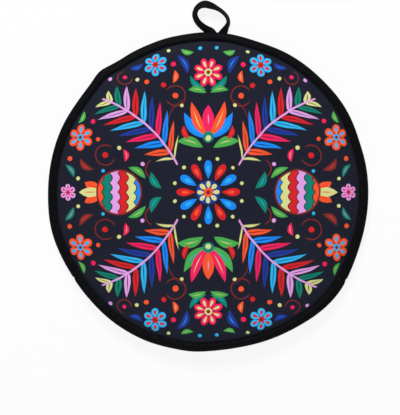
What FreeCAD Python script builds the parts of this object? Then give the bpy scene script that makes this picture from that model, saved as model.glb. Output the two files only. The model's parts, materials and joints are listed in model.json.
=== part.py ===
"""Round quilted pouch that keeps tortillas warm.

Two padded panels, each a printed cover, a wadding and a cotton lining, are bound together round
most of their rim. Along the mouth each panel has a lip of its own, so that the upper lip lifts.
A loop of folded tape hangs the pouch from a hook.

The pouch lies flat. The origin is on the table under the centre of the disc, +Z is up,
the mouth faces -Y and the hanging loop points to +Y. All lengths are in millimetres.
"""
import FreeCAD
import Part

import math
import os

from FreeCAD import Vector

# The whole pouch
pouch_radius = 152.4         # to the outside of the binding: a 12 inch pouch
crown_height = 26.0          # flat middle of the top cover above the table
shoulder_width = 30.0        # from the seam to the flat middle of the top panel
steep_width = 11.0           # the outer, steeper part of the shoulder
shoulder_drop = 4.6          # from the flat middle to where the steeper part starts
heel_width = 26.0            # from the seam to the flat floor of the bottom panel
rim_lift = 5.1               # underside of the rim above the table

# Layers of a panel
cover_thickness = 0.5
wadding_thickness = 4.0
pressed_wadding = 0.8        # where the wadding is caught in the binding
lining_thickness = 0.4
layer_gap = 0.2              # between two layers that lie on each other

# Binding tape
tape_thickness = 0.6
binding_width = 9.0
edge_gap = 0.3               # from the panels' cut edges to where the tape turns

# Mouth
mouth_half_angle = 58.0      # from -Y to each end of the mouth
lip_gap = 0.3                # between the rows of stitches of the two lips when they are closed
rest_gape = 6.0              # degrees by which the upper lip stands open by itself
fold_gap = 0.3               # on each side of the line where the top panel folds

# Stitching
thread = 0.25                # height of a row of stitches above the cloth
row_width = 0.7
row_inset = 1.6              # from the inner edge of a binding to its row
lining_row_inset = 7.0       # from the inner edge of the lower lip's binding
overlock_width = 1.4
tack_width = 2.0
tack_margin = 0.4            # from the ends of a mouth tack to the edges of the flat tape
tack_turn = 3.0              # degrees from the end of the mouth to the middle of its tack
loop_tack_length = 13.0

# Hanging loop, a folded tape
loop_width = 7.7
loop_thickness = 1.2
loop_offset = 8.0            # from the pouch's middle line to the middle of the root
loop_spread = 11.6           # between the middles of the two strands at the rim
loop_root_gap = 1.4          # from the rim to the line on which the loop swings
eye_width = 31.0             # between the middles of the two sides
eye_height = 22.2            # across the eye from strand to strand
eye_lift = 12.6              # from the root line to the middle of the eye
eye_lean = 5.0               # from the middle of the root to the left
eye_tilt = 4.8               # by which the left side stands higher than the eye's middle
side_twist = 62.0            # degrees by which the tape turns on edge at its sides
twist_start = 4.5            # from the root line to where the tape starts to turn
left_slant = 28.0            # of the left strand to the rim where it leaves the binding
right_slant = 52.0
tail_length = 7.0            # of each strand caught in the binding
tail_clearance = 0.5         # between the tails and the loop that swings
slot_clearance = 0.25        # round the tails where they leave the binding
loop_row_inset = 1.4         # from the edge of the loop's tape to its row of stitches
eye_angles = range(215, -31, -35)    # of the points round the eye, in degrees from +X

# Heights in the bound rim, from the underside up
cover_low = rim_lift + tape_thickness + layer_gap
wadding_low = cover_low + cover_thickness + layer_gap
lining_low = wadding_low + pressed_wadding + layer_gap
lining_low_top = lining_low + lining_thickness
lining_high = lining_low_top + 2 * (layer_gap + tape_thickness + thread) + lip_gap
wadding_high = lining_high + lining_thickness + layer_gap
cover_high = wadding_high + pressed_wadding + layer_gap
rim_top = cover_high + cover_thickness + layer_gap + tape_thickness
lower_lip_top = lining_low_top + layer_gap + tape_thickness
upper_lip_bottom = lining_high - layer_gap - tape_thickness
rim_middle = (lining_low_top + lining_high) / 2

# Radii of the rim
seam_radius = pouch_radius - binding_width
turn_radius = pouch_radius - (rim_top - rim_lift) / 2
panel_radius = turn_radius - edge_gap

# Line across the top panel on which the upper lip folds
fold_y = -pouch_radius * math.cos(math.radians(mouth_half_angle))
fold_point = Vector(0, fold_y, crown_height)
opening_axis = Vector(-1, 0, 0)

# Line on which the hanging loop swings
root_y = pouch_radius + loop_root_gap
loop_root = Vector(loop_offset, root_y, rim_middle)

origin = Vector(0, 0, 0)
axis_z = Vector(0, 0, 1)


def turned(points):
    """Solid of a closed outline of (radius, height) points turned once round the pouch's axis."""
    corners = [Vector(radius, 0, height) for radius, height in points]
    return Part.Face(Part.makePolygon(corners + corners[:1])).revolve(origin, axis_z, 360)


def ring(inner, outer, low, high):
    return turned([(inner, low), (outer, low), (outer, high), (inner, high)])


def top_line(crown_z, seam_z):
    """Half section of the top panel: flat crown, shoulder in two slopes, and edge in the seam."""
    return [(0, crown_z), (seam_radius - shoulder_width, crown_z),
            (seam_radius - steep_width, crown_z - shoulder_drop),
            (seam_radius, seam_z), (panel_radius, seam_z)]


def bottom_line(floor_z, seam_z):
    """Half section of the bottom panel: flat floor, turned-up heel, and edge in the seam."""
    return [(0, floor_z), (seam_radius - heel_width, floor_z),
            (seam_radius, seam_z), (panel_radius, seam_z)]


def layer(half_section, low, high):
    """Layer of a panel between two faces, each given by its heights in the middle and the seam."""
    return turned(half_section(*low) + half_section(*high)[::-1])


def cut_across(shape, y, side):
    """The part of a shape behind (side 1) or before (side -1) a plane across the pouch."""
    size = 4 * pouch_radius
    start = y if side > 0 else y - size
    return shape.common(Part.makeBox(size, size, size, Vector(-size / 2, start, -size / 2)))


def fixed_part(shape):
    """What stays with the pouch when the upper lip lifts."""
    return cut_across(shape, fold_y + fold_gap, 1)


def mouth_part(shape):
    """What runs along the mouth."""
    return cut_across(shape, fold_y - fold_gap, -1)


def lifted_part(shape):
    """What belongs to the upper lip, opened to where it stands by itself."""
    lip = mouth_part(shape)
    lip.rotate(fold_point, opening_axis, rest_gape)
    return lip


def group(shapes):
    """Separate solids that share a node."""
    return Part.makeCompound([solid for shape in shapes for solid in shape.Solids])


def bottom_panel():
    """Cover, wadding and lining of the bottom panel, and the faces of its lining."""
    step = cover_thickness + layer_gap
    floor = step + wadding_thickness + layer_gap
    lining_face = (floor + lining_thickness, lining_low_top)
    cover = layer(bottom_line, (0, cover_low), (cover_thickness, cover_low + cover_thickness))
    wadding = layer(bottom_line, (step, wadding_low),
                    (step + wadding_thickness, wadding_low + pressed_wadding))
    lining = layer(bottom_line, (floor, lining_low), lining_face)
    return cover, wadding, lining, lining_face


def top_panel():
    """Cover, wadding and lining of the top panel, before they are divided at the fold."""
    step = cover_thickness + layer_gap
    over = crown_height - step
    ceiling = over - wadding_thickness - layer_gap
    cover = layer(top_line, (crown_height - cover_thickness, cover_high),
                  (crown_height, cover_high + cover_thickness))
    wadding = layer(top_line, (over - wadding_thickness, wadding_high),
                    (over, wadding_high + pressed_wadding))
    lining = layer(top_line, (ceiling - lining_thickness, lining_high),
                   (ceiling, lining_high + lining_thickness))
    return cover, wadding, lining


def fold_line(turn, middle, size):
    """Section of a tape's fold: three sides of an octagon round the middle of the turn."""
    side = size * math.tan(math.pi / 8)
    return [(turn + side, middle - size), (turn + size, middle - side),
            (turn + size, middle + side), (turn + side, middle + size)]


def binding(low, high):
    """Tape folded round an edge, with a flat leg on each face of it."""
    middle = (low + high) / 2
    half = (high - low) / 2
    turn = pouch_radius - half
    outside = [(seam_radius, low)] + fold_line(turn, middle, half) + [(seam_radius, high)]
    inside = ([(seam_radius, low + tape_thickness)]
              + fold_line(turn, middle, half - tape_thickness)
              + [(seam_radius, high - tape_thickness)])
    return turned(outside + inside[::-1])


def stitch_rows(low, high):
    """Row of stitches on each face of a binding, near its inner edge."""
    inner = seam_radius + row_inset - row_width / 2
    return group([ring(inner, inner + row_width, high, high + thread),
                  ring(inner, inner + row_width, low - thread, low)])


def row_on_lining(outer, width, lining_face):
    """Row of stitches that lies on the lining of the lower lip, along its outer side."""
    floor_z, seam_z = lining_face
    seat = seam_z - (seam_z - floor_z) * (seam_radius - outer) / heel_width
    return mouth_part(ring(outer - width, outer, seat, seat + thread))


def bar_tack(width, length, inner, angle):
    """Close stitches over and under the rim, from a radius outwards, at an angle from +Y."""
    over = Part.makeBox(width, length, thread, Vector(-width / 2, inner, rim_top))
    under = Part.makeBox(width, length, thread, Vector(-width / 2, inner, rim_lift - thread))
    tack = Part.makeCompound([over, under])
    tack.rotate(origin, axis_z, angle)
    return tack


def strand(side):
    """Where a strand crosses the rim, from the root's middle, and its direction out of the rim."""
    slant = math.radians(left_slant if side < 0 else right_slant)
    return (Vector(side * loop_spread / 2, -loop_root_gap, 0),
            Vector(side * math.cos(slant), math.sin(slant), 0))


def loop_path():
    """Middle line of the swinging tape in plan, round the eye from its left end to its right."""
    left, left_way = strand(-1)
    right, right_way = strand(1)
    out = loop_root_gap - loop_thickness / 2
    points = [left + left_way * (out / left_way.y)]
    for angle in eye_angles:
        t = math.radians(angle)
        points.append(Vector(eye_width / 2 * math.cos(t) - eye_lean,
                             eye_lift + eye_height / 2 * math.sin(t) - eye_tilt * math.cos(t), 0))
    points.append(right + right_way * (out / right_way.y))
    curve = Part.BSplineCurve()
    curve.interpolate(Points=points, InitialTangent=left_way, FinalTangent=right_way * -1)
    return curve


def loop_strip(width, thickness, across, above, sections=16):
    """Strip along the loop that turns with its tape, offset across it and above its middle."""
    curve = loop_path()
    top = eye_lift + math.hypot(eye_height / 2, eye_tilt)
    step = (curve.LastParameter - curve.FirstParameter) / sections
    outlines = []
    for i in range(sections + 1):
        point = curve.value(curve.FirstParameter + i * step)
        flat = curve.tangent(curve.FirstParameter + i * step)[0].cross(axis_z)
        # Square to the path, but level with the rim at the root.
        level = min(max(1 - (point.y + loop_thickness / 2) / loop_width, 0.0), 1.0)
        aim = flat * (1 - level) + Vector(math.copysign(level, flat.x), 0, 0)
        aim.normalize()
        height = min(max((point.y - twist_start) / (top - twist_start), 0.0), 1.0)
        turn = math.radians(side_twist) * math.sin(math.pi * height) ** 2
        wide = (aim * math.cos(turn) + axis_z * math.sin(turn)) * (1 / aim.dot(flat))
        thick = axis_z * math.cos(turn) - aim * math.sin(turn)
        centre = loop_root + point + wide * across + thick * above
        corners = [centre + wide * (a * width / 2) + thick * (b * thickness / 2)
                   for a, b in ((-1, -1), (1, -1), (1, 1), (-1, 1))]
        outlines.append(Part.makePolygon(corners + corners[:1]))
    return Part.makeLoft(outlines, True, True)


def hanging_loop():
    """The loop that swings, its row of stitches, and its two ends, sewn together in the rim."""
    loop = loop_strip(loop_width, loop_thickness, 0, 0)
    row = loop_strip(row_width, thread, loop_width / 2 - loop_row_inset,
                     (loop_thickness + thread) / 2)
    tails = []
    for side in (-1, 1):
        crossing, way = strand(side)
        tail = Part.makeBox(loop_width, tail_length + loop_width, loop_thickness,
                            Vector(-loop_width / 2, -tail_length, -loop_thickness / 2))
        tail.rotate(origin, axis_z, math.degrees(math.atan2(way.y, way.x)) - 90)
        tails.append(tail.translated(loop_root + crossing))
    ends = tails[0].fuse(tails[1]).removeSplitter()
    return loop, row, cut_across(ends, root_y - loop_thickness / 2 - tail_clearance, -1)


def tail_slot(tails):
    """Opening in the fold of the rim's tape through which the tails come out."""
    box = tails.BoundBox
    height = loop_thickness + 2 * slot_clearance
    return Part.makeBox(box.XLength + 2 * slot_clearance, root_y - panel_radius, height,
                        Vector(box.XMin - slot_clearance, panel_radius, rim_middle - height / 2))


tack_start = seam_radius + tack_margin
tack_length = turn_radius - seam_radius - 2 * tack_margin
mouth_end = 180 - mouth_half_angle - tack_turn
loop_turn = -math.degrees(math.asin(loop_offset / seam_radius))

bottom_cover, bottom_wadding, bottom_lining, lining_face = bottom_panel()
cover_layer, wadding_layer, lining_layer = top_panel()
loop, loop_row, loop_tails = hanging_loop()
rim_tape = binding(rim_lift, rim_top)
mouth_tacks = [bar_tack(tack_width, tack_length, tack_start, side * mouth_end) for side in (1, -1)]
rim_rows = stitch_rows(rim_lift, rim_top).cut(mouth_tacks)
lower_lip_rows = stitch_rows(rim_lift, lower_lip_top)
upper_lip_rows = stitch_rows(upper_lip_bottom, rim_top)

nodes = {
    "bottom_cover": bottom_cover,
    "bottom_wadding": bottom_wadding,
    "bottom_lining": bottom_lining,
    "top_cover": fixed_part(cover_layer),
    "top_wadding": fixed_part(wadding_layer),
    "top_lining": fixed_part(lining_layer),
    "upper_lip_cover": lifted_part(cover_layer),
    "upper_lip_wadding": lifted_part(wadding_layer),
    "upper_lip_lining": lifted_part(lining_layer),
    "rim_binding": fixed_part(rim_tape).cut(tail_slot(loop_tails)),
    "lower_lip_binding": mouth_part(binding(rim_lift, lower_lip_top)),
    "upper_lip_binding": lifted_part(binding(upper_lip_bottom, rim_top)),
    "rim_topstitch": group([fixed_part(row) for row in rim_rows.Solids]),
    "lower_lip_topstitch": group([mouth_part(row) for row in lower_lip_rows.Solids]),
    "upper_lip_topstitch": group([lifted_part(row) for row in upper_lip_rows.Solids]),
    "lower_lip_lining_stitch": row_on_lining(seam_radius - lining_row_inset, row_width, lining_face),
    "lower_lip_overlock": row_on_lining(seam_radius - layer_gap, overlock_width, lining_face),
    "left_mouth_tack": mouth_tacks[0],
    "right_mouth_tack": mouth_tacks[1],
    "hanging_loop": loop,
    "hanging_loop_stitch": loop_row,
    "hanging_loop_tails": loop_tails,
    "hanging_loop_tack": bar_tack(loop_tack_length, tack_width, tack_start + row_inset, loop_turn),
}

os.makedirs("parts", exist_ok=True)
for name, shape in nodes.items():
    shape.exportStep("parts/" + name + ".step")
    print(name, len(shape.Solids), "solids", round(shape.Volume), "mm3", shape.isValid())
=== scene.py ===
import json
import math

import bpy
import numpy as np
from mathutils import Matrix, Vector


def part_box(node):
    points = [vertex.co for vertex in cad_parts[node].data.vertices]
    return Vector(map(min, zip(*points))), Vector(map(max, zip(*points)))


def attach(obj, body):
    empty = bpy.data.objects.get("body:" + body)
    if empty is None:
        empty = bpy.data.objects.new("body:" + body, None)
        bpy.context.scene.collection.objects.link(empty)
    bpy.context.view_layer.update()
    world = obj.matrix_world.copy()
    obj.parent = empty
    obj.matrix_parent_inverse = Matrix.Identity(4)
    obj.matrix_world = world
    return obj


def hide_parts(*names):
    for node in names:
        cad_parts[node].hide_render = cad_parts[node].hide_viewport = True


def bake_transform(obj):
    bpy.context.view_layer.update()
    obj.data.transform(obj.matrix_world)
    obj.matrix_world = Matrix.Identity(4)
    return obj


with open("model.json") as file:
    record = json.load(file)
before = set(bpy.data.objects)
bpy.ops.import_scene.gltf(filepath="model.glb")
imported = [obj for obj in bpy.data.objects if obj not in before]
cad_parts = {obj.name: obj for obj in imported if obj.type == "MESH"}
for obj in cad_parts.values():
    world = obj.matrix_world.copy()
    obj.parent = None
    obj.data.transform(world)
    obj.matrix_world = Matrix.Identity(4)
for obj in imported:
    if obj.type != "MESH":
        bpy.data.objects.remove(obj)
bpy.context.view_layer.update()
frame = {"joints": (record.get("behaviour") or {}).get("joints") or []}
mm = 0.001

# how the soft pouch differs from a true disc; clock angles run clockwise from +Y
pouchShape = {
    # each bulge or dent of the rim: clock angle, millimetres outwards, and its spread in degrees
    "rimDrift": [(130.5, 4.4, 14.5), (318, 2.3, 4), (305, -0.9, 8), (327, -0.6, 4), (351, -0.5, 6),
                 (171, -1.9, 13), (18, -1.5, 9), (57, 0.7, 8), (72, -0.6, 6), (257, 1.1, 9),
                 (204, 1.0, 9), (237, -0.7, 8), (337, -0.8, 9), (186, 0.5, 5), (216, 0.6, 7)],
    "rimWave": 0.9 * mm,
    "rimWaveLength": 150 * mm,
    "edgePower": 5,  # how soon drift and wave fade from the rim inwards
    "rowReach": 1.95 * mm,  # from the binding's inner edge to the far side of its row
    "foldWidth": 34 * mm,  # the band over which the upper lip bends up
    "lipTuck": 2.6 * mm,  # the upper lip's edge draws in, so that the lower lip shows
}

# what the solids say about the pouch
rimLow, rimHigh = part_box("rim_binding")
pouchRadius = rimHigh.x
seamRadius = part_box("rim_topstitch")[1].x - pouchShape["rowReach"]  # inner edge of the binding
joints = {joint["name"]: joint for joint in frame["joints"]}
foldY, foldZ = joints["mouth_hinge"]["pos_m"][1:]
loopX, _, loopZ = joints["loop_swing"]["pos_m"]
restGape = math.radians(-joints["mouth_hinge"]["range_deg"][0])  # the upper lip stands open by this
mouthHalf = math.acos(-foldY / pouchRadius)  # from -Y to each end of the mouth


def setMode(mode):
    bpy.ops.object.mode_set(mode=mode)


def clearSelection():
    if bpy.context.object and bpy.context.object.mode != "OBJECT":
        setMode("OBJECT")
    bpy.ops.object.select_all(action="DESELECT")


def pick(piece):
    clearSelection()
    piece.select_set(True)
    bpy.context.view_layer.objects.active = piece


def added(name, operator, **values):
    # what one of Blender's operators for new objects makes
    clearSelection()
    operator(**values)
    made = bpy.context.object
    made.name = made.data.name = name
    return made


def pointsOf(piece):
    points = np.empty(len(piece.data.vertices) * 3)
    piece.data.vertices.foreach_get("co", points)
    return points.reshape(-1, 3)


def setPoints(piece, points):
    piece.data.vertices.foreach_set("co", points.astype(np.float32).ravel())
    piece.data.update()


def polar(radius, angle, height=0):
    # points round the pouch's axis
    return np.column_stack(np.broadcast_arrays(radius * np.cos(angle), radius * np.sin(angle), height))


def fromAxis(points):
    return np.hypot(points[:, 0], points[:, 1])


def swell(points, seed, length, waves=16):
    # smooth random height of about one unit, made of a few seeded plane waves
    rng = np.random.default_rng(seed)
    height = np.zeros(len(points))
    for _ in range(waves):
        turn = rng.uniform(0, 2 * math.pi)
        wave = 2 * math.pi / (length * rng.uniform(0.7, 1.5))
        phase = rng.uniform(0, 2 * math.pi)
        height += np.sin(wave * (points[:, 0] * math.cos(turn) + points[:, 1] * math.sin(turn)) + phase)
    return height / math.sqrt(waves / 2)


def easeIn(value, start, end):
    share = np.clip((value - start) / (end - start), 0, 1)
    return share * share * (3 - 2 * share)


def rimDrift(angle):
    clock = 90 - np.degrees(angle)
    drift = np.zeros_like(angle)
    for centre, amount, width in pouchShape["rimDrift"]:
        away = (clock - centre + 180) % 360 - 180
        drift += amount * mm * np.exp(-(away / width) ** 2)
    return drift


def settle(points, upper):
    # takes a point of the true disc to where the soft pouch has it
    angle = np.arctan2(points[:, 1], points[:, 0])
    edge = (fromAxis(points) / pouchRadius) ** pouchShape["edgePower"]
    x, y, z = polar(fromAxis(points) + rimDrift(angle) * edge, angle, points[:, 2]).T
    wave = swell(polar(pouchRadius, angle), 3, pouchShape["rimWaveLength"]) * pouchShape["rimWave"]
    z = z + wave * edge * np.clip(z / rimLow.z, 0, 1)
    if upper:
        lift = easeIn(y, foldY, foldY - pouchShape["foldWidth"])
        turn = lift * restGape
        across, height = y - foldY, z - foldZ
        y = foldY + across * np.cos(turn) + height * np.sin(turn) + pouchShape["lipTuck"] * lift * edge
        z = foldZ + height * np.cos(turn) - across * np.sin(turn)
    return np.column_stack([x, y, z])


def shadeSmooth(piece, degrees=50):
    pick(piece)
    bpy.ops.object.shade_smooth_by_angle(angle=math.radians(degrees))


# section that the two panels share
panel = {
    "sampleCount": 500,
    "topBend": (8.0, 0.56),  # how square and how upright the top panel's shoulder is
    "bottomBend": (11.0, 0.9),
    "crownFall": 1.3 * mm,  # from the middle of the top panel to the start of its shoulder
    "underBinding": 3.5 * mm,  # how far the layers reach under the binding
    "turnedUp": (0.75, 0.9),  # shares of the radius between which the bottom panel turns up
}


def panelSection(middleZ, seamZ, inset, upper):
    # half section of one face, from the middle to the edge: radius, height and length along the cloth
    square, upright = panel["topBend"] if upper else panel["bottomBend"]
    fall = panel["crownFall"] if upper else 0
    phase = np.linspace(0, math.pi / 2, panel["sampleCount"])
    radius = (seamRadius - inset) * np.sin(phase) ** (2 / square)
    rise = np.cos(phase) ** (2 * upright)
    height = seamZ + (middleZ - seamZ) * rise - fall * rise * (radius / seamRadius) ** 2
    radius = np.append(radius, seamRadius + panel["underBinding"])
    height = np.append(height, seamZ)
    length = np.append(0, np.cumsum(np.hypot(np.diff(radius), np.diff(height))))
    return radius, height, length


def discGrid(name, rings):
    # a square grid whose rings become circles, so that the disc has no pole
    cells = 2 * rings
    disc = added(name, bpy.ops.mesh.primitive_grid_add, x_subdivisions=cells, y_subdivisions=cells, size=2)
    a, b, _ = pointsOf(disc).T
    sideways = np.abs(a) >= np.abs(b)
    large, small = np.where(sideways, a, b), np.where(sideways, b, a)
    share = math.pi / 4 * small / np.where(large == 0, 1, large)
    angle = np.where(sideways, share, math.pi / 2 - share) + np.where(large < 0, math.pi, 0)
    return disc, np.abs(large), angle, (a, b)


def panelFace(ring, angle, face, upper):
    # points of one face of a layer, given by its heights in the middle and the seam and its inset,
    # and the same points on the flat cloth
    radius, height, length = panelSection(*face, upper)
    along = ring * length[-1]
    points = polar(np.interp(along, length, radius), angle, np.interp(along, length, height))
    return points, polar(along, angle)[:, :2]


def addUv(piece, name, flat):
    layer = piece.data.uv_layers.new(name=name)
    corner = np.empty(len(piece.data.loops), np.int32)
    piece.data.loops.foreach_get("vertex_index", corner)
    layer.data.foreach_set("uv", flat[corner].astype(np.float32).ravel())


def layerFaces(node, layer):
    # outer and inner face of a layer: heights in the middle and the seam, and inset from the seam
    low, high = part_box(node)[0].z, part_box(node)[1].z
    outset, inset = layer["insets"]
    if node.startswith("top"):
        return (high, low + layer["seamThickness"], outset), (high - layer["thickness"], low, inset)
    return (low, high - layer["seamThickness"], outset), (low + layer["thickness"], high, inset)


def fadeAtSeam(points, sharpness=6):
    return np.clip(1 - (fromAxis(points) / seamRadius) ** sharpness, 0, 1)


def fadeMove(points, upper):
    # the bottom panel lies flat, and only its turned-up edge moves
    if upper:
        return 1
    start, end = panel["turnedUp"]
    return easeIn(fromAxis(points), start * seamRadius, end * seamRadius)[:, None]


def makeLayer(node, ending, layer, bumps, creases=None):
    # a disc of cloth or wadding between two faces, with its share of the gathers and bumps(points)
    # added to both, and creases(flat), which stand away from the cover
    upper = node.startswith("top")
    outer, inner = layerFaces(node, layer)
    disc, ring, angle, grid = discGrid(node + ending, layer["rings"])
    faces = [panelFace(ring, angle, face, upper) for face in (outer, inner)]
    flat = faces[0][1]
    move = gathersAt(grid, upper) * layer["gathered"]
    move[:, 2] += bumps(faces[0][0])
    for points, _ in faces:
        points += move * fadeMove(points, upper)
        if creases:
            points[:, 2] += creases(flat) * (-1 if upper else 1)
    addUv(disc, "cloth", flat)
    # the bake's map fills its square but for a narrow edge
    addUv(disc, "OFBake", 0.5 + 0.49 * flat / np.abs(flat).max())
    if not upper:
        disc.data.flip_normals()
    pick(disc)
    disc.modifiers.new("wall", "SOLIDIFY").thickness = abs(outer[0] - inner[0])
    bpy.ops.object.modifier_apply(modifier="wall")
    setPoints(disc, np.vstack([settle(points, upper) for points, _ in faces]))
    shadeSmooth(disc)
    return disc


# the top cover is puffed up as cloth, held along its seam, and the other layers share its gathers
puffing = {
    "rings": 60,
    "frames": 20,
    "cloth": {"use_pressure": True, "uniform_pressure_force": 1.0, "quality": 6, "tension_stiffness": 15,
              "compression_stiffness": 15, "bending_stiffness": 0.5, "vertex_group_mass": "seam"},
    "largestMove": 2.6 * mm,
    "unevenStart": 0.5 * mm,  # from which the gathers grow
    "unevenLength": 11 * mm,
    "unevenBand": (0.6, 0.9),  # shares of the way out between which it sets in
    "unevenFade": 30,  # how suddenly it ends at the seam
}


def puffCover():
    # how far each point of a grid moves when the cover is puffed up, apart from its even rise
    disc, ring, angle, _ = discGrid("cover_puffing", puffing["rings"])
    face = layerFaces("top_cover", coverSheet)[0]
    start, _ = panelFace(ring, angle, face, True)
    uneven = swell(start, 9, puffing["unevenLength"]) * fadeAtSeam(start, puffing["unevenFade"])
    start[:, 2] += uneven * puffing["unevenStart"] * easeIn(ring, *puffing["unevenBand"])
    setPoints(disc, start)
    length = panelSection(*face, True)[2][-1]
    held = disc.vertex_groups.new(name="seam")
    seam = np.nonzero(ring * length >= length - panel["underBinding"] - 0.1 * mm)[0]
    held.add(seam.tolist(), 1.0, "REPLACE")
    cloth = disc.modifiers.new("puff", "CLOTH")
    cloth.collision_settings.use_collision = False
    cloth.settings.effector_weights.gravity = 0
    for key, value in puffing["cloth"].items():
        setattr(cloth.settings, key, value)
    for step in range(1, puffing["frames"] + 1):
        bpy.context.scene.frame_set(step)
    pick(disc)
    bpy.ops.object.modifier_apply(modifier="puff")
    bpy.context.scene.frame_set(1)
    move = pointsOf(disc) - start
    bpy.data.objects.remove(disc)
    # without the even rise of each ring, which the section already has
    outward = polar(1, angle)[:, :2]
    radial = (move[:, :2] * outward).sum(1)
    number = np.round(ring * puffing["rings"]).astype(int)
    many = np.bincount(number)
    move[:, :2] -= outward * (np.bincount(number, radial) / many)[number][:, None]
    move[:, 2] -= (np.bincount(number, move[:, 2]) / many)[number]
    size = np.linalg.norm(move, axis=1)
    move *= (np.minimum(size, puffing["largestMove"]) / np.maximum(size, 1e-9))[:, None]
    return move.reshape(2 * puffing["rings"] + 1, -1, 3)


def gathersAt(grid, upper):
    # the puffed cover's moves at places of another grid, turned a quarter for the bottom panel
    a, b = grid if upper else (grid[1], -grid[0])
    last = gathers.shape[0] - 1
    column, row = (a + 1) / 2 * last, (b + 1) / 2 * last
    i, j = np.clip(column.astype(int), 0, last - 1), np.clip(row.astype(int), 0, last - 1)
    s, t = (column - i)[:, None], (row - j)[:, None]
    low = gathers[j, i] * (1 - s) + gathers[j, i + 1] * s
    high = gathers[j + 1, i] * (1 - s) + gathers[j + 1, i + 1] * s
    move = low * (1 - t) + high * t
    if not upper:
        move = np.column_stack([-move[:, 1], move[:, 0], np.abs(move[:, 2])])
    return move


coverSheet = {
    "thickness": 0.5 * mm,
    "seamThickness": 0.5 * mm,
    "insets": (0, 0.4 * mm),
    "rings": 80,
    "gathered": 1.0,
    "swell": 0.7 * mm,  # broad unevenness of the padded panel
    "swellLength": 95 * mm,
}


def coverBumps(points):
    return swell(points, 5, coverSheet["swellLength"]) * coverSheet["swell"] * fadeAtSeam(points)


gathers = puffCover()
print("cover puffed up")
topCover = makeLayer("top_cover", "_cloth", coverSheet, coverBumps)
bottomCover = makeLayer("bottom_cover", "_cloth", coverSheet, coverBumps)
print("covers made")

waddingPad = {
    "thickness": 4.0 * mm,
    "seamThickness": 0.8 * mm,  # caught in the binding
    "insets": (0.9 * mm, 3.0 * mm),
    "rings": 56,
    "gathered": 0.9,  # its share of the cover's gathers
    "lump": 0.12 * mm,
    "lumpLength": 16 * mm,
    "fill": 0.35,
}


def waddingBumps(points):
    lumps = swell(points, 21, waddingPad["lumpLength"]) * waddingPad["lump"]
    return coverBumps(points) + lumps * fadeAtSeam(points)


topWadding = makeLayer("top_wadding", "_pad", waddingPad, waddingBumps)
bottomWadding = makeLayer("bottom_wadding", "_pad", waddingPad, waddingBumps)
print("wadding made")

liningSheet = {
    "thickness": 0.4 * mm,
    "seamThickness": 0.4 * mm,
    "insets": (3.3 * mm, 3.6 * mm),
    "rings": 100,
    "gathered": 0.9,
    "crease": 0.8 * mm,  # creases that run along the mouth
    "creaseLength": 6.6 * mm,
    "creaseStretch": 9.0,  # how much longer than wide a crease is
    "coarse": (0.5, 1.8),  # share and relative length of a second, broader set
    "roundness": 0.15,  # of the foot of a crease, which only stands away from the wadding
    "reach": 60 * mm,  # from the mouth inwards, where they are strongest
    "faint": 0.3,  # their share elsewhere
    "smoothMiddle": 30 * mm,
    "seamFade": 14,
}


def liningCreases(flat):
    radius = np.maximum(fromAxis(flat), 1e-6)
    along = np.arctan2(flat[:, 1], flat[:, 0]) * seamRadius / liningSheet["creaseStretch"]
    share, stretch = liningSheet["coarse"]
    crease = swell(np.column_stack([along, radius]), 33, liningSheet["creaseLength"])
    crease += share * swell(np.column_stack([along * 2, radius]), 34, stretch * liningSheet["creaseLength"])
    crease = (crease + np.sqrt(crease ** 2 + liningSheet["roundness"])) / 2
    near = np.exp(-np.clip(flat[:, 1] + seamRadius, 0, 1) / liningSheet["reach"])
    strength = liningSheet["faint"] + (1 - liningSheet["faint"]) * near
    middle = np.clip(radius / liningSheet["smoothMiddle"], 0, 1)
    return crease * strength * middle * liningSheet["crease"] * fadeAtSeam(flat, liningSheet["seamFade"])


# the outer face of a lining is the one on the wadding
topLining = makeLayer("top_lining", "_cloth", liningSheet, waddingBumps, liningCreases)
bottomLining = makeLayer("bottom_lining", "_cloth", liningSheet, waddingBumps, liningCreases)
print("linings made")

binding = {
    "thickness": 0.75 * mm,
    "hem": 0.3,  # thicknesses by which its edges stand back from the seam
    "legPoints": 9,
    "foldPoints": 15,
    "step": 1.5 * mm,  # between two sections along the rim
    "puff": 0.9 * mm,  # the tape rises between its row and its fold
    "rowInset": 1.6 * mm,  # from its inner edge to the row of stitches
    "groove": 0.45 * mm,  # the row pulls the tape in by this
    "grooveWidth": 0.9 * mm,
    "pucker": 0.16 * mm,
    "puckerLength": 8.5 * mm,
    "edgePucker": 0.3,  # how much of it the tape's edges have
    "tuck": 1.2,  # degrees by which a lip's tape runs on under the rim's
    "tuckSlope": 6.0 * mm,  # over which it narrows before that
    "tuckIn": 0.8 * mm,
    "tuckFlat": 0.85 * mm,
    "loopBulge": 0.9 * mm,  # over the sewn-in ends of the hanging loop
    "loopBulgeWidth": 8 * mm,
}


def tapeSection(low, high):
    # closed outline of the folded tape: along the outside from the top leg to the bottom, and back
    middle, half = (low + high) / 2, (high - low) / 2
    turn = pouchRadius - half
    start = seamRadius + binding["hem"] * binding["thickness"]
    leg = start + (turn - start) * np.linspace(0, 1, binding["legPoints"])
    fold = np.linspace(math.pi / 2, -math.pi / 2, binding["foldPoints"])[1:-1]

    def side(size):
        radius = np.concatenate([leg, turn + size * np.cos(fold), leg[::-1]])
        height = np.concatenate([leg * 0 + size, size * np.sin(fold), leg * 0 - size])
        return np.column_stack([radius, middle + height])

    return np.vstack([side(half), side(half - binding["thickness"])[::-1]])


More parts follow.
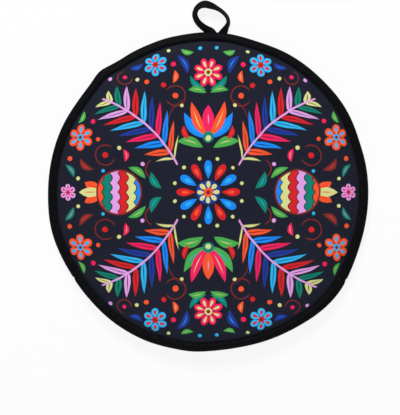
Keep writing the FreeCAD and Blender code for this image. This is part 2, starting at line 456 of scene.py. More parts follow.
def tapeRelief(points, low, high):
    # how far the tape rises at its points, away from its middle
    radius = fromAxis(points)
    turn = pouchRadius - (high - low) / 2
    onLeg = np.clip((radius - seamRadius) / (turn - seamRadius), 0, 1)
    rim = points[:, :2] / radius[:, None] * pouchRadius
    hump = np.sin(math.pi * onLeg)
    row = np.exp(-((radius - seamRadius - binding["rowInset"]) / binding["grooveWidth"]) ** 2)
    gathers = swell(rim, 41, binding["puckerLength"]) * binding["pucker"] * (binding["edgePucker"] + hump)
    overLoop = np.exp(-((rim[:, 0] - loopX) / binding["loopBulgeWidth"]) ** 2) * (rim[:, 1] > 0)
    return binding["puff"] * hump - binding["groove"] * row + gathers + binding["loopBulge"] * overLoop * hump


def tuckUnder(points, angle, start, end, heights):
    # the ends of a lip's tape grow smaller, and so end inside the rim's
    low, high = heights
    fromEnd = np.minimum(angle - start, end - angle) * pouchRadius
    tuckLength = math.radians(binding["tuck"]) * pouchRadius
    share = 1 - easeIn(fromEnd, tuckLength, tuckLength + binding["tuckSlope"])
    radius = fromAxis(points)
    points[:, :2] *= (1 - share * binding["tuckIn"] / radius)[:, None]
    touching = low if abs(low - rimHeights[0]) > abs(high - rimHeights[1]) else high
    points[:, 2] = touching + (points[:, 2] - touching) * (1 - share * binding["tuckFlat"] / (high - low))


def makeBinding(name, heights, start, end, upper=False, lip=False):
    # start and end are angles from +X
    low, high = heights
    section = tapeSection(low, high)
    tape = added(name, bpy.ops.mesh.primitive_circle_add, vertices=len(section), radius=1)
    setPoints(tape, polar(section[:, 0], start, section[:, 1]))
    pick(tape)
    setMode("EDIT")
    bpy.ops.mesh.select_all(action="SELECT")
    steps = round(abs(end - start) * pouchRadius / binding["step"])
    bpy.ops.mesh.spin(steps=steps, angle=start - end, center=(0, 0, 0), axis=(0, 0, 1))
    bpy.ops.mesh.select_all(action="SELECT")
    bpy.ops.mesh.fill_holes(sides=0)
    bpy.ops.mesh.select_all(action="SELECT")
    bpy.ops.mesh.normals_make_consistent(inside=False)
    setMode("OBJECT")
    points = pointsOf(tape)
    middle, half = (low + high) / 2, (high - low) / 2
    level = np.clip((points[:, 2] - middle) / half, -1, 1)
    radius = fromAxis(points)
    behind = 0.1  # radians, so that no point of the first section comes out a turn ahead
    along = (np.arctan2(points[:, 1], points[:, 0]) - start + behind) % (2 * math.pi)
    across = np.clip(pouchRadius - half - radius, 0, 1) + half * np.arcsin(np.abs(level))
    points[:, 2] += tapeRelief(points, low, high) * np.clip(2 * level, -1, 1)
    if lip:
        tuckUnder(points, along + start - behind, start, end, heights)
    setPoints(tape, settle(points, upper))
    addUv(tape, "cloth", np.column_stack([along * pouchRadius, across * np.sign(level)]))
    shadeSmooth(tape)
    return tape


tuck = math.radians(binding["tuck"])
mouthStart, mouthEnd = -math.pi / 2 - mouthHalf, -math.pi / 2 + mouthHalf
lowerLipHeights = rimLow.z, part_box("lower_lip_binding")[1].z
rimHeights = rimLow.z, rimHigh.z
upperLipHeights = rimHigh.z - lowerLipHeights[1] + rimLow.z, rimHigh.z
rimTape = makeBinding("rim_binding_tape", rimHeights, mouthEnd, mouthStart + 2 * math.pi)
lowerTape = makeBinding("lower_lip_tape", lowerLipHeights, mouthStart - tuck, mouthEnd + tuck, lip=True)
upperTape = makeBinding("upper_lip_tape", upperLipHeights, mouthStart - tuck, mouthEnd + tuck, True, True)
print("bindings made")

stitching = {
    "length": 2.3 * mm,
    "pitch": 3.0 * mm,
    "width": 0.55 * mm,
    "height": 0.4 * mm,
    "sides": 6,
    "rings": 5,
    "rise": 0.2,  # of a stitch's middle over the cloth, as a share of its height
    "lipGap": 2.8,  # degrees between an end of the mouth and the lips' rows
    "liningInset": 7.0 * mm,  # from the inner edge of the lower lip's tape
    "liningThread": 0.5 * mm,
    "overlock": (-1.4 * mm, 2.3 * mm),  # its reach either side of the tape's inner edge
    "overlockPitch": 4.6 * mm,
    "overlockThread": 0.85 * mm,
    "overlockLift": 0.35 * mm,
    "satinPitch": 0.42 * mm,  # between the threads of a bar tack
    "satinThread": 1.25,  # their width, as a share of the pitch
    "satinShake": 0.1 * mm,
    "tackWidth": 2.0 * mm,
    "tackMargin": 0.4 * mm,  # between a tack and the edges of the tape's flat
    "tackTurn": 3.0,  # degrees from the end of the mouth to the middle of its tack
    "tackLift": 0.05 * mm,
    "loopTackLength": 13.0 * mm,
    "loopTackLift": 0.3 * mm,
    "shake": 0.12,  # unevenness, as a share of the length and in millimetres sideways
}


def makeStitch():
    # one thread lying along +X, a unit long, wide and high
    stitch = added("stitch_pattern", bpy.ops.mesh.primitive_uv_sphere_add, segments=stitching["sides"],
                   ring_count=stitching["rings"], radius=0.5, rotation=(0, math.pi / 2, 0))
    bpy.ops.object.transform_apply(rotation=True)
    setMode("EDIT")
    bpy.ops.mesh.select_all(action="SELECT")
    bpy.ops.transform.translate(value=(0, 0, stitching["rise"]))
    setMode("OBJECT")
    return stitch


stitchPattern = makeStitch()


def layStitches(name, starts, ends, normals, width=stitching["width"]):
    # one piece from a copy of the stitch between each pair of points
    shape = pointsOf(stitchPattern)
    faces = [tuple(face.vertices) for face in stitchPattern.data.polygons]
    way = ends - starts
    up = normals / np.linalg.norm(normals, axis=1, keepdims=True)
    side = np.cross(up, way)
    side /= np.linalg.norm(side, axis=1, keepdims=True)
    middle = (starts + ends) / 2
    points = (middle[:, None] + way[:, None] * shape[None, :, :1]
              + side[:, None] * shape[None, :, 1:2] * width
              + up[:, None] * shape[None, :, 2:] * stitching["height"])
    mesh = bpy.data.meshes.new(name)
    count = len(shape)
    mesh.from_pydata(points.reshape(-1, 3).tolist(), [],
                     [tuple(i * count + v for v in face) for i in range(len(starts)) for face in faces])
    row = bpy.data.objects.new(name, mesh)
    bpy.context.collection.objects.link(row)
    shadeSmooth(row, 180)
    return row


def spaced(start, end, count):
    # the middles of equal parts
    return start + (end - start) * (np.arange(count) + 0.5) / count


def onTape(radius, angle, heights, face, upper=False, lift=0.0):
    # a point of the tape's top (face 1) or underside (face -1), and the way out of the tape there
    points = polar(radius, angle, heights[1] if face > 0 else heights[0])
    points[:, 2] += face * (tapeRelief(points, *heights) + lift)
    place = settle(points, upper)
    return place, settle(points + (0, 0, face * mm), upper) - place


def stitchTape(name, heights, threads, width=stitching["width"], upper=False, lift=0.0):
    # threads on both faces of a tape; threads(rng) gives the radii and angles of their two ends
    rng = np.random.default_rng(len(name))
    rows = []
    for face in (1, -1):
        first, last = threads(rng)
        start, up = onTape(*first, heights, face, upper, lift)
        rows.append((start, onTape(*last, heights, face, upper, lift)[0], up))
    return layStitches(name, *[np.vstack(part) for part in zip(*rows)], width)


def stitchRow(name, start, end, heights, upper=False):
    radius = seamRadius + binding["rowInset"]
    count = round((end - start) * radius / stitching["pitch"])
    middle = spaced(start, end, count)

    def threads(rng):
        half = stitching["length"] / 2 / radius * (1 + rng.uniform(-1, 1, count) * stitching["shake"])
        drift = rng.uniform(-1, 1, (2, count)) * stitching["shake"] * mm
        return (radius + drift[0], middle - half), (radius + drift[1], middle + half)

    return stitchTape(name, heights, threads, upper=upper)


def satinTack(name, radii, angles, alongRim, lift):
    # close threads side by side over and under the rim, each along the rim or across it
    run = radii if alongRim else (angles[0] * radii[0], angles[1] * radii[0])
    count = round(abs(run[1] - run[0]) / stitching["satinPitch"])

    def threads(rng):
        shake = rng.uniform(-1, 1, (2, count)) * stitching["satinShake"]
        if alongRim:
            radius = spaced(*radii, count)
            return [(radius, end + stray / radius) for end, stray in zip(angles, shake)]
        return [(end + stray, spaced(*angles, count)) for end, stray in zip(radii, shake)]

    width = stitching["satinThread"] * stitching["satinPitch"]
    return stitchTape(name, rimHeights, threads, width, lift=lift)


lipGap = math.radians(stitching["lipGap"])
rimRow = stitchRow("rim_stitches", mouthEnd, mouthStart + 2 * math.pi, rimHeights)
lowerRow = stitchRow("lower_lip_stitches", mouthStart + lipGap, mouthEnd - lipGap, lowerLipHeights)
upperRow = stitchRow("upper_lip_stitches", mouthStart + lipGap, mouthEnd - lipGap, upperLipHeights, True)

tapeFlat = seamRadius, pouchRadius - (rimHigh.z - rimLow.z) / 2
tackRadii = tapeFlat[0] + stitching["tackMargin"], tapeFlat[1] - stitching["tackMargin"]


def mouthTack(name, middle):
    half = stitching["tackWidth"] / 2 / pouchRadius
    return satinTack(name, tackRadii, (middle - half, middle + half), True, stitching["tackLift"])


tackTurn = math.radians(stitching["tackTurn"])
leftTack = mouthTack("left_mouth_tack_threads", mouthStart - tackTurn)
rightTack = mouthTack("right_mouth_tack_threads", mouthEnd + tackTurn)
loopMiddle = math.pi / 2 - math.asin(loopX / seamRadius)
loopHalf = stitching["loopTackLength"] / 2 / seamRadius
loopTackRadius = tackRadii[0] + binding["rowInset"]
loopTack = satinTack("loop_tack_threads", (loopTackRadius, loopTackRadius + stitching["tackWidth"]),
                     (loopMiddle - loopHalf, loopMiddle + loopHalf), False, stitching["loopTackLift"])


def onLining(radius, angle):
    # a point of the lower lining's face in the mouth
    radius, angle = np.broadcast_arrays(radius, angle)
    outer, inner = layerFaces("bottom_lining", liningSheet)
    radii, _, length = panelSection(*outer, False)
    ring = np.interp(radius, radii, length) / length[-1]
    points, flat = panelFace(ring, angle, outer, False)
    place, _ = panelFace(ring, angle, inner, False)
    place[:, 2] += waddingBumps(points) * fadeMove(place, False)[:, 0] + liningCreases(flat)
    return settle(place, False)


def liningRow(name):
    # a row of stitches along the lower lip on its lining
    radius = seamRadius - stitching["liningInset"]
    start, end = mouthStart + tuck, mouthEnd - tuck
    middle = spaced(start, end, round((end - start) * radius / stitching["pitch"]))
    half = stitching["length"] / 2 / radius
    starts, ends = onLining(radius, middle - half), onLining(radius, middle + half)
    beside = onLining(radius - stitching["pitch"] / 2, middle)
    normals = np.cross(beside - (starts + ends) / 2, ends - starts)
    normals[normals[:, 2] < 0] *= -1
    return layStitches(name, starts, ends, normals, stitching["liningThread"])


def overlockRow(name):
    # thread that runs to and fro between the lining and the inner edge of the lower lip's tape
    start, end = mouthStart + lipGap / 2, mouthEnd - lipGap / 2
    count = round((end - start) * seamRadius / stitching["overlockPitch"])
    angle = np.linspace(start, end, 2 * count + 1)
    inward, outward = stitching["overlock"]
    points = onLining(seamRadius + inward, angle)
    points[1::2] = onTape(seamRadius + outward, angle[1::2], lowerLipHeights, 1)[0]
    points[:, 2] += stitching["overlockLift"]
    up = np.tile((0.0, 0.0, 1.0), (2 * count, 1))
    return layStitches(name, points[:-1], points[1:], up, stitching["overlockThread"])


liningStitches = liningRow("lower_lining_stitches")
overlock = overlockRow("lower_overlock_threads")
print("stitches made")

hangingLoop = {
    # its middle line from one sewn-in end round to the other: places in millimetres, and the degrees
    # by which the tape's inner edge stands up there
    "line": [(6.5, 147.5, 0), (2.9, 152.4, 8), (-1.0, 154.6, 26), (-5.4, 157.6, 38), (-10.3, 162.6, 46),
             (-12.7, 168.8, 48), (-11.2, 174.2, 46), (-7.6, 177.6, 32), (-2.7, 178.9, 16), (2.9, 177.4, 27),
             (8.3, 175.0, 48), (13.6, 171.6, 56), (18.0, 166.6, 60), (19.1, 161.5, 62), (17.3, 157.0, 50),
             (14.2, 151.8, 14), (9.6, 146.6, 0)],
    "curvePoints": 900,
    "width": 7.7 * mm,
    "thickness": 1.2 * mm,
    "cuts": (170, 12),  # along the tape and across it
    "apart": 0.7 * mm,  # one end lies over the other
    "edgePower": 7,  # how suddenly its edges grow thin
    "crease": 0.12 * mm,  # the row presses the tape in
    "creaseWidth": 0.7 * mm,
    "rowInset": 1.4 * mm,
    "rowSpan": (0.1, 0.915),  # shares of its length between which the row runs
    "rowSunk": 0.8,  # of the crease
    "stitchPitch": 2.7 * mm,
    "stitchLength": 1.9 * mm,
    "bend": 5.0 * mm,  # how far out of the rim it bends when it swings
}


def smoothLine(points, count):
    # a smooth curve through the points, with so many points of its own
    points = np.array(points)
    slope = np.gradient(points, axis=0)
    at = np.linspace(0, len(points) - 1, count)
    i = np.minimum(at.astype(int), len(points) - 2)
    t = (at - i)[:, None]
    return ((2 * t ** 3 - 3 * t ** 2 + 1) * points[i] + (t ** 3 - 2 * t ** 2 + t) * slope[i]
            + (3 * t ** 2 - 2 * t ** 3) * points[i + 1] + (t ** 3 - t ** 2) * slope[i + 1])


loopMid = rimHeights[0] / 2 + rimHeights[1] / 2
linePoints = [(x * mm, y * mm, loopMid, math.radians(degrees)) for x, y, degrees in hangingLoop["line"]]
loopLine = smoothLine(linePoints, hangingLoop["curvePoints"])
loopSteps = np.append(0, np.cumsum(np.linalg.norm(np.diff(loopLine[:, :3], axis=0), axis=1)))
loopLength = loopSteps[-1]
loopRowAcross = hangingLoop["width"] / 2 - hangingLoop["rowInset"]


def alongLoop(along, across, above):
    # takes a place on the straight tape to the loop: share of its length, offset and height
    def at(values):
        return np.column_stack([np.interp(along * loopLength, loopSteps, v) for v in values.T])

    line, way = at(loopLine), at(np.gradient(loopLine[:, :3], loopSteps, axis=0))
    place, turn = line[:, :3], line[:, 3:]
    place[:, 2] += hangingLoop["apart"] * np.cos(math.pi * along)
    flat = np.column_stack([way[:, 1], -way[:, 0], np.zeros(len(way))])
    flat /= np.linalg.norm(flat, axis=1, keepdims=True)
    up = np.array([[0, 0, 1]])
    wide, thick = flat * np.cos(turn) + up * np.sin(turn), up * np.cos(turn) - flat * np.sin(turn)
    return place + wide * np.reshape(across, (-1, 1)) + thick * np.reshape(above, (-1, 1)), thick


def makeLoop():
    tape = added("hanging_loop_tape", bpy.ops.mesh.primitive_cube_add, size=1)
    setMode("EDIT")
    bpy.ops.mesh.select_mode(type="EDGE")
    for axis, cuts in enumerate(hangingLoop["cuts"]):
        bpy.ops.mesh.select_all(action="DESELECT")
        setMode("OBJECT")
        co = pointsOf(tape)
        # only the long edges in this direction are cut
        for edge in tape.data.edges:
            a, b = edge.vertices
            edge.select = bool(abs(co[a][axis] - co[b][axis]) > 0.9)
        setMode("EDIT")
        bpy.ops.mesh.subdivide(number_cuts=cuts)
    setMode("OBJECT")
    straight = pointsOf(tape)
    across, above = straight[:, 1] * 2, straight[:, 2] * 2
    # rounded edges, and a shallow groove under the row of stitches
    edge = np.sqrt(np.clip(1 - np.abs(across) ** hangingLoop["edgePower"], 0.02, 1))
    height = above * edge * hangingLoop["thickness"] / 2
    offset = across * hangingLoop["width"] / 2
    away = (offset - loopRowAcross) / hangingLoop["creaseWidth"]
    height -= above * hangingLoop["crease"] * np.exp(-away ** 2)
    share = straight[:, 0] + 0.5
    setPoints(tape, alongLoop(share, offset, height)[0])
    # the two faces of the tape lie apart on its map
    addUv(tape, "cloth", np.column_stack([share * loopLength, offset + (above > 0) * 0.02]))
    shadeSmooth(tape)
    return tape


def makeLoopRow():
    start, end = hangingLoop["rowSpan"]
    middle = spaced(start, end, round((end - start) * loopLength / hangingLoop["stitchPitch"]))
    half = hangingLoop["stitchLength"] / 2 / loopLength
    above = hangingLoop["thickness"] / 2 - hangingLoop["rowSunk"] * hangingLoop["crease"]
    starts, up = alongLoop(middle - half, loopRowAcross, above)
    ends, _ = alongLoop(middle + half, loopRowAcross, above)
    return layStitches("hanging_loop_stitches", starts, ends, up)


loopTape = makeLoop()
loopRow = makeLoopRow()
bpy.data.objects.remove(stitchPattern)
print("hanging loop made")


class Wire:
    # a node's output that can be used in sums
    def __init__(self, nodes, socket):
        self.nodes, self.socket = nodes, socket

    def sum(self, operation, *values, clamp=False):
        settings = {"operation": operation, "use_clamp": clamp}
        return self.nodes.node("Math", settings, dict(enumerate((self,) + values)))

    def __add__(self, other):
        return self.sum("ADD", other)

    def __sub__(self, other):
        return self.sum("SUBTRACT", other)

    def __rsub__(self, other):
        return self.sum("MULTIPLY_ADD", -1, other)

    def __mul__(self, other):
        return self.sum("MULTIPLY", other)

    def __truediv__(self, other):
        return self.sum("DIVIDE", other) if isinstance(other, Wire) else self * (1 / other)

    def __neg__(self):
        return self * -1

    def __abs__(self):
        return self.sum("ABSOLUTE")

    def timesPlus(self, factor, rest):
        return self.sum("MULTIPLY_ADD", factor, rest)

    def clamped(self, factor=1, rest=0):
        return self.sum("MULTIPLY_ADD", factor, rest, clamp=True)


class Nodes:
    # nodes of a material or of the world, added by expressions
    def __init__(self, tree):
        self.tree = tree

    def node(self, kind, settings=None, inputs=None, output=0):
        made = self.tree.nodes.new("ShaderNode" + kind)
        for key, value in (settings or {}).items():
            setattr(made, key, value)
        for key, value in (inputs or {}).items():
            self.feed(made.inputs[key], value)
        return Wire(self, made.outputs[output])

    def feed(self, socket, value):
        if isinstance(value, Wire):
            self.tree.links.new(value.socket, socket)
        else:
            socket.default_value = value

    def parts(self, vector):
        # its first two values
        first = self.node("SeparateXYZ", None, {0: vector})
        return first, Wire(self, first.socket.node.outputs[1])

    def seen(self):
        # 1 for the rays that show the background itself
        rays = self.node("LightPath").socket.node.outputs
        kinds = [Wire(self, rays[name]) for name in ("Is Camera Ray", "Is Glossy Ray", "Is Transmission Ray")]
        return kinds[0].sum("MAXIMUM", kinds[1]).sum("MAXIMUM", kinds[2])


class Finish(Nodes):
    def __init__(self, name):
        self.material = bpy.data.materials.new(name)
        self.material.use_nodes = True
        super().__init__(self.material.node_tree)
        self.shader = self.tree.nodes["Principled BSDF"]

    def uv(self):
        # the two directions along the cloth in millimetres, and the map itself
        place = self.node("UVMap", {"uv_map": "cloth"})
        u, v = self.parts(place)
        return u / mm, v / mm, place

    def noise(self, place, size, detail=2.0, output=0):
        # cloudy value round 0.5 with lumps of a size in the place's unit
        inputs = {"Vector": place, "Scale": 1 / size, "Detail": detail}
        return self.node("TexNoise", None, inputs, output)

    def wave(self, value, length):
        # 0 to 1 to 0 once in a length
        return value.sum("PINGPONG", length / 2) * (2 / length)

    def weave(self, u, v, pitch):
        # height of a plain weave, 0 to 1, with one thread over the other in turn
        warp, weft = self.wave(u, pitch), self.wave(v, pitch)
        over = self.wave(u + v, 2 * pitch)
        return warp * over + weft * (1 - over)

    def mix(self, share, low, high, blend="MIX"):
        return self.node("Mix", {"data_type": "RGBA", "blend_type": blend},
                         {0: share, 6: low, 7: high}, output=2)

    def bump(self, height, distance):
        return self.node("Bump", None, {"Height": height, "Distance": distance, "Strength": 0.6})

    def set(self, **values):
        names = {"colour": "Base Color", "specular": "Specular IOR Level"}
        for key, value in values.items():
            self.feed(self.shader.inputs[names.get(key, key.capitalize())], value)


def colour(red, green, blue):
    # a colour by its screen values from 0 to 255
    def linear(value):
        value /= 255
        return value / 12.92 if value <= 0.04045 else ((value + 0.055) / 1.055) ** 2.4
    return linear(red), linear(green), linear(blue), 1


def shaded(base, factor):
    return tuple(min(1, value * factor) for value in base[:3]) + (1,)


def simpleCloth(name, base, pitch, roughness, specular):
    finish = Finish(name)
    u, v, place = finish.uv()
    weave = finish.weave(u, v, pitch)
    cloud = finish.noise(place, 18 * mm, 3)
    cloth = finish.mix(cloud * 0.6 + weave * 0.4, shaded(base, 0.88), shaded(base, 1.12))
    finish.set(colour=cloth, roughness=roughness, specular=specular, normal=finish.bump(weave, 0.06 * mm))
    return finish


def plainThread(name, base, specular=0.3):
    finish = Finish(name)
    place = finish.node("TexCoord", None, None, "Object")
    cloud = finish.noise(place, 1.2 * mm)
    finish.set(colour=finish.mix(cloud, shaded(base, 0.7), base), roughness=0.7, specular=specular)
    return finish


inks = {
    "ground": colour(23, 26, 40),
    "red": colour(220, 34, 40),
    "orange": colour(252, 88, 46),
    "pink": colour(246, 34, 98),
    "lilac": colour(230, 164, 232),
    "yellow": colour(222, 224, 146),
    "green": colour(74, 172, 78),
    "teal": colour(10, 132, 112),
    "blue": colour(24, 140, 250),
    "sky": colour(48, 184, 244),
    "navy": colour(32, 58, 152),
    "brick": colour(132, 42, 40),
}

brush = {
    "wobble": (0.9, 16),  # by how much it strays in millimetres, and over what length
    "edge": 0.55,  # softness of an outline
}

# every motif in the order of painting, with places in millimetres from the middle of the panel;
# all but the rosette repeat in the four quarters
motifs = {
    # root, degrees, length, width, pitch and width of its leaflets, bend
    "fern": [((29, 26), 41, 95, 47, 9.2, 0.31, 9)],
    # middle, radius, first and last degrees of thin vines, and the ink of the berry in them
    "curl": [((31, 91), 9.5, 40, 320, "orange"), ((97, 35), 9.5, -150, 120, "red"),
             ((79, 109), 7, -170, 70, "pink"), ((12, 64), 26, 20, 46, None), ((50, 22), 9, -60, 60, None)],
    # root, degrees, length, width, bend, ink and the ink of the vein
    "leaf": [((5, 42), 14, 25, 9, 3, "green", "yellow"), ((18, 50), 70, 14, 5, -2, "red", "orange"),
             ((2, 97), 40, 20, 6, -3, "teal", "sky"), ((2, 94), 8, 17, 6, 2, "green", "yellow"),
             ((20, 112), 62, 20, 7, 3, "navy", "sky"), ((14, 133), 12, 12, 5, -2, "green", "yellow"),
             ((33, 103), 96, 12, 5, 2, "orange", "yellow"), ((62, 123), -20, 14, 5.5, -2, "navy", "blue"),
             ((44, 4), 58, 18, 7, -3, "teal", "sky"), ((59, 13), 33, 19, 6, 2, "green", "yellow"),
             ((108, 21), 40, 17, 6, -3, "brick", "orange"), ((127, 14), 55, 15, 5, 2, "teal", "lilac"),
             ((124, 66), 112, 13, 5, 2, "green", "yellow"), ((78, 29), 80, 12, 5, 2, "pink", "yellow")],
    "tulip": [((0, 52), 38)],  # root and height
    "fruit": [((84, 0), 20)],  # middle and radius
    # middle, radius, number of petals and inks
    "flower": [((0, 113), 14.0, 8, "pink", "yellow"), ((50, 121), 11.5, 6, "sky", "red"),
               ((121, 52), 12.5, 6, "orange", "sky"), ((133, 0), 8.0, 6, "lilac", "pink")],
    "dot": [((25, 82), 1.7, "yellow"), ((42, 101), 2.4, "red"), ((58, 104), 2.2, "orange"),
            ((33, 121), 2.4, "pink"), ((8, 137), 1.8, "sky"), ((67, 107), 1.8, "yellow"),
            ((93, 107), 1.9, "lilac"), ((62, 26.5), 1.9, "lilac"), ((84, 42), 1.9, "yellow"),
            ((104, 50), 1.9, "orange"), ((123, 13), 1.7, "yellow"), ((131, 32), 2.3, "orange"),
            ((109, 67), 2.2, "pink"), ((38, 135), 1.8, "yellow"), ((99, 20), 1.6, "sky")],
    # start, end, width and number of the outer and the inner petals, radius of the spots and their
    # distance from a petal, and radii of the discs in the middle
    "rosette": [((12.5, 30, 7.4, 12), (3.6, 10.5, 4.2, 8), (1.7, 2.5), (11.4, 4.4, 2.0))],
}


class Painting:
    # motifs laid on the ground one after the other, by masks on the cloth's own directions
    def __init__(self, finish, u, v, place):
        stray, size = brush["wobble"]
        strayX, strayY = finish.parts(finish.noise(place, size * mm, 1.0, "Color"))
        self.x = strayX.timesPlus(2 * stray, u - stray)
        self.y = strayY.timesPlus(2 * stray, v - stray)
        self.finish = finish
        self.across, self.up = abs(self.x), abs(self.y)
        self.far = self.y.clamped(2, 0.5)  # 1 in the half at the loop
        self.colour = inks["ground"]

    def paint(self, ink, inside, *others):
        # by the least distance in from one or more outlines; the ink is a name, a node's colour, or the
        # names for the half at the loop and for the half at the mouth
        for other in others:
            inside = inside.sum("MINIMUM", other)
        if isinstance(ink, tuple):
            ink = self.finish.mix(self.far, inks[ink[1]], inks[ink[0]])
        elif isinstance(ink, str):
            ink = inks[ink]
        mask = inside.clamped(1 / brush["edge"], 0.5)
        self.colour = self.finish.mix(mask, self.colour, ink)

    def frame(self, root, degrees=0, folded=True):
        # directions along and across a motif that starts at a place
        x, y = (self.across, self.up) if folded else (self.x, self.y)
        cosine, sine = math.cos(math.radians(degrees)), math.sin(math.radians(degrees))
        cx, cy = root
        along = x.timesPlus(cosine, y.timesPlus(sine, -cx * cosine - cy * sine))
        aside = y.timesPlus(cosine, x.timesPlus(-sine, cx * sine - cy * cosine))
        return along, aside

    def distance(self, middle, folded=True):
        along, aside = self.frame(middle, 0, folded)
        return (along * along + aside * aside).sum("SQRT"), along, aside

    def dot(self, middle, radius, ink):
        self.paint(ink, radius - self.distance(middle)[0])

    def stem(self, root, degrees, length, bend):
        # along a bent stem, a hump from end to end, and the distance from it
        along, aside = self.frame(root, degrees)
        share = along * (1 / length)
        belly = share * (1 - share)
        return along, belly, abs(belly.timesPlus(-4 * bend, aside))

    def leaf(self, root, degrees, length, width, bend, ink, vein):
        _, belly, off = self.stem(root, degrees, length, bend)
        self.paint(ink, belly.timesPlus(2 * width, -off))
        # a lighter stroke down its middle, which stops short of both ends
        self.paint(vein, belly.timesPlus(0.7 * width, -off) - 0.13 * width)

    def curl(self, middle, radius, first, last, ink):
        # a thin arc, which may go round a berry
        far, along, aside = self.distance(middle)
        turn, span = math.radians((first + last) / 2), math.radians(last - first) / 2
        facing = aside.timesPlus(math.sin(turn), along * math.cos(turn)) / far
        reach = (facing - math.cos(span)) * 0.9
        self.paint("brick", 0.5 - abs(far - radius), reach * 2)
        if ink:
            self.paint(ink, 0.28 * radius - far)

    def petals(self, far, turn, count, start, end, width, ink, phase=0.0):
        nearest = turn.timesPlus(count / (2 * math.pi), phase + count).sum("PINGPONG", 0.5)
        share = far.timesPlus(1 / (end - start), -start / (end - start))
        belly = share * (1 - share).sum("MAXIMUM", 0).sum("SQRT")
        inside = belly.timesPlus(1.3 * width, -(nearest * far * (2 * math.pi / count)))
        self.paint(ink, inside, end - far)

    def bands(self, order, number):
        # some inks in turn, one for each whole number
        turns = (number * (1 / len(order)) + 0.02).sum("FRACT")
        made = self.finish.node("ValToRGB", None, {0: turns})
        ramp = made.socket.node.color_ramp
        ramp.interpolation = "CONSTANT"
        while len(ramp.elements) < len(order):
            ramp.elements.new(1)
        for i, ink in enumerate(order):
            ramp.elements[i].position = i / len(order)
            ramp.elements[i].color = inks[ink]
        return made

    def flower(self, middle, radius, count, ink, heart):
        far, along, aside = self.distance(middle)
        turn = aside.sum("ARCTAN2", along)
        width = 2 * math.pi * 0.66 * radius / count * 0.92
        self.petals(far, turn, count, 0.18 * radius, radius, width, ink, 0.5)
        self.petals(far, turn, count, 0.34 * radius, 0.82 * radius, 0.36 * width, heart, 0.5)
        self.paint(heart, 0.26 * radius - far)
        self.paint("brick", 0.13 * radius - far)

    def fern(self, root, degrees, length, width, pitch, leafletWidth, bend):
        along, belly, off = self.stem(root, degrees, length, bend)
        slanted = off.timesPlus(-0.75, along) * (1 / pitch)
        number = slanted.sum("FLOOR")
        # leaflets are longest at the middle of the fern
        place = (number + 1.5) * (pitch / length)
        reach = (place * (1.06 - place).sum("MAXIMUM", 0.0)).sum("MAXIMUM", 0.0001).sum("SQRT") * width
        out = off / reach
        leaflet = out.sum("SQRT") * (1 - out) * (2.6 * leafletWidth * pitch)
        middleOff = abs(slanted - number - 0.5) * pitch
        order = ("yellow", "orange", "blue", "pink", "navy", "sky", "red", "lilac", "teal")
        self.paint(self.bands(order, number), leaflet - middleOff * 0.85, slanted.clamped(1, -0.5) * 4 - 0.3,
                   (1.06 - place) * length)
        # a dark stroke in each leaflet, and the stem
        self.paint("ground", leaflet * 0.25 - middleOff - 0.25, 0.72 - out)
        self.paint("lilac", 0.9 - off, belly * 40)

    def rosette(self, outer, inner, spots, discs):
        # petals in two inks by turns with a spot beyond each, and a small flower in the middle
        far, along, aside = self.distance((0, 0), False)
        turn = aside.sum("ARCTAN2", along)
        start, end, width, count = outer
        place = turn.timesPlus(count / (2 * math.pi), count + 0.5)
        other = (place.sum("FLOOR") * 0.5).sum("FRACT").clamped(10, -2)
        for trim, share, odd, even in ((0, 1, "red", "blue"), (5, 0.42, "orange", "sky")):
            ink = self.finish.mix(other, inks[odd], inks[even])
            self.petals(far, turn, count, start + trim, end - trim, share * width, ink)
        ring = place.sum("PINGPONG", 0.5) * far * (2 * math.pi / count)
        spot = far - (end + spots[1])
        self.paint("yellow", spots[0] - (ring * ring + spot * spot).sum("SQRT"))
        start, end, width, count = inner
        self.paint("navy", discs[0] - far)
        self.petals(far, turn, count, start, end, width, "yellow")
        self.paint("orange", discs[1] - far)
        self.paint("brick", discs[2] - far)

    def fruit(self, middle, radius):
        # a pomegranate on its side: scalloped stripes inside a round outline, and a crown
        for degrees, length, ink in ((30, 19, "orange"), (0, 22, "yellow")):
            self.leaf((middle[0] + radius - 4, 0), degrees, length, 9, 0, ink, "red")
        far, along, aside = self.distance(middle)
        scallop = abs((aside * (math.pi / 9)).sum("SINE")) * 2.6
        order = ("blue", "yellow", "red", "lilac", "teal", "orange")
        stripe = (2 * radius + 6) / len(order)
        band = (along + scallop).timesPlus(1 / stripe, (radius + 1.6) / stripe + 2 * len(order))
        self.paint("brick", radius + 1.6 - far)
        self.paint(self.bands(order, band.sum("FLOOR")), radius - far)
        gap = abs(band.sum("FRACT") - 0.5) * stripe
        self.paint("ground", gap - stripe / 2 + 0.5, radius - far)

    def tulip(self, root, height):
        x, y = root
        for dx, dy, degrees, share, width, bend, ink, vein in (
                (1, -1, 48, 0.86, 9, -3.5, ("blue", "green"), "sky"),
                (1, 0, 66, 0.95, 9, -2.5, ("orange", "pink"), "yellow"),
                (-5, -2, 90, 0.98, 11, -5, ("pink", "orange"), "lilac")):
            self.leaf((x + dx, y + dy), degrees, share * height, width, bend, ink, vein)
        self.dot(root, 5.2, "teal")
        self.dot((x, y - 1), 2.6, "yellow")


def printedCotton():
    finish = Finish("printed_cotton")
    u, v, place = finish.uv()
    painting = Painting(finish, u, v, place)
    for motif, places in motifs.items():
        for values in places:
            getattr(painting, motif)(*values)
    weave = finish.weave(u, v, 0.38)
    cloud = finish.noise(place, 30 * mm, 3)
    shade = finish.mix(1, painting.colour, (0.9, 0.9, 0.92, 1), "MULTIPLY")
    cloth = finish.mix(cloud * 0.5 + weave * 0.5, shade, painting.colour)
    finish.set(colour=cloth, roughness=0.82, specular=0.12, normal=finish.bump(weave, 0.05 * mm))
    return finish


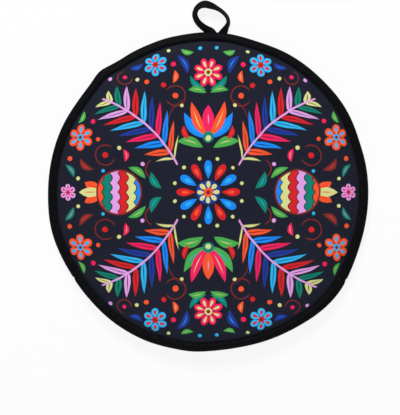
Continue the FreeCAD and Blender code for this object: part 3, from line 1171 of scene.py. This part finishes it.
printed = printedCotton()
lining = simpleCloth("cream_cotton", colour(240, 230, 213), 0.4, 0.88, 0.15)
tapeFinish = simpleCloth("binding_twill", colour(4, 4, 7), 0.5, 0.6, 0.045)
loopFinish = simpleCloth("loop_twill", colour(5, 5, 8), 0.5, 0.6, 0.05)
blackThread = plainThread("black_thread", colour(9, 9, 12), 0.06)
creamThread = plainThread("cream_thread", colour(248, 244, 232))
padding = plainThread("wadding_fibre", colour(232, 230, 224))

for slot, finish, pieces in (
        ("printed_cotton", printed, (
            (topCover, "top_cover", "upper_lip_cover"), (bottomCover, "bottom_cover"))),
        ("wadding", padding, (
            (topWadding, "top_wadding", "upper_lip_wadding"), (bottomWadding, "bottom_wadding"))),
        ("lining_cotton", lining, (
            (topLining, "top_lining", "upper_lip_lining"), (bottomLining, "bottom_lining"))),
        ("binding_tape", tapeFinish, (
            (rimTape, "rim_binding"), (lowerTape, "lower_lip_binding"), (upperTape, "upper_lip_binding"))),
        ("loop_tape", loopFinish, (
            (loopTape, "hanging_loop", "hanging_loop_tails"),)),
        ("black_thread", blackThread, (
            (rimRow, "rim_topstitch"), (lowerRow, "lower_lip_topstitch"), (upperRow, "upper_lip_topstitch"),
            (leftTack, "left_mouth_tack"), (rightTack, "right_mouth_tack"),
            (loopTack, "hanging_loop_tack"), (loopRow, "hanging_loop_stitch"))),
        ("cream_thread", creamThread, (
            (liningStitches, "lower_lip_lining_stitch"), (overlock, "lower_lip_overlock")))):
    for piece, *nodes in pieces:
        piece.data.materials.clear()
        piece.data.materials.append(finish.material)
        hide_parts(*nodes)
print("pieces finished")

for piece in (topCover, topWadding, topLining, upperTape, upperRow):
    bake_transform(piece)
for piece in (bottomCover, bottomWadding, bottomLining, rimTape, lowerTape, rimRow, lowerRow, leftTack,
              rightTack, loopTack, liningStitches, overlock):
    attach(piece, "pouch")
for piece in (loopTape, loopRow):
    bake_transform(piece)


def cutDisc(piece, node, sheet):
    # prints the size that a round panel of cloth was cut to
    outer, _ = layerFaces(node, sheet)
    reach = panelSection(*outer, node.startswith("top"))[2][-1]
    2 * reach
    2 * reach
    math.pi * reach ** 2
    print(piece.name, "was cut", round(2 * reach * 1000), "mm across")


cutDisc(topCover, "top_cover", coverSheet)
cutDisc(bottomCover, "bottom_cover", coverSheet)
cutDisc(topLining, "top_lining", liningSheet)
cutDisc(bottomLining, "bottom_lining", liningSheet)

studio = {
    "floorSize": 3.0,
    "floor": colour(240, 240, 240),
    "background": 1.0,
    "shadow": 0.11,  # how much of the floor's own shading the camera sees
    "world": 0.19,
    "key": (29, (-0.25, 1.15, 1.35), 0.7),  # power, place and size of each lamp
    "fill": (11.5, (0.1, -1.5, 0.85), 1.4),
    "cameraAim": (-7.8 * mm, -14.4 * mm),
    "cameraHeight": 1.6,
    "viewWidth": 0.3936,  # seen across the frame at the pouch
}

floor = added("studio_floor", bpy.ops.mesh.primitive_plane_add, size=studio["floorSize"])
paper = Finish("studio_paper")
paper.set(colour=studio["floor"], roughness=0.9, specular=0.1)
glow = paper.node("Emission", None, {"Color": (1, 1, 1, 1), "Strength": studio["background"]})
plain = Wire(paper, paper.shader.outputs[0])
shown = paper.node("MixShader", None, {0: paper.seen() * (1 - studio["shadow"]), 1: plain, 2: glow})
paper.feed(paper.tree.nodes["Material Output"].inputs["Surface"], shown)
floor.data.materials.append(paper.material)

world = bpy.data.worlds.new("studio_air")
bpy.context.scene.world = world
world.use_nodes = True
air = Nodes(world.node_tree)
sky = air.tree.nodes["Background"]
sky.inputs["Color"].default_value = (1, 1, 1, 1)
# the pouch is lit by less than what the camera sees of the world
shining = (air.seen() * studio["background"]).sum("MAXIMUM", studio["world"])
air.feed(sky.inputs["Strength"], shining)

for name in ("key", "fill"):
    power, place, size = studio[name]
    lamp = added("studio_" + name, bpy.ops.object.light_add, type="AREA", location=place)
    lamp.data.energy, lamp.data.size = power, size
    lamp.rotation_euler = (-lamp.location).to_track_quat("-Z", "Y").to_euler()

camera = added("studio_camera", bpy.ops.object.camera_add, rotation=(0, 0, 0),
               location=(*studio["cameraAim"], studio["cameraHeight"]))
camera.data.lens = camera.data.sensor_width * (studio["cameraHeight"] - rimHigh.z) / studio["viewWidth"]
camera.data.clip_end = 20
bpy.context.scene.camera = camera
bpy.context.scene.view_settings.view_transform = "Standard"
print("studio ready")
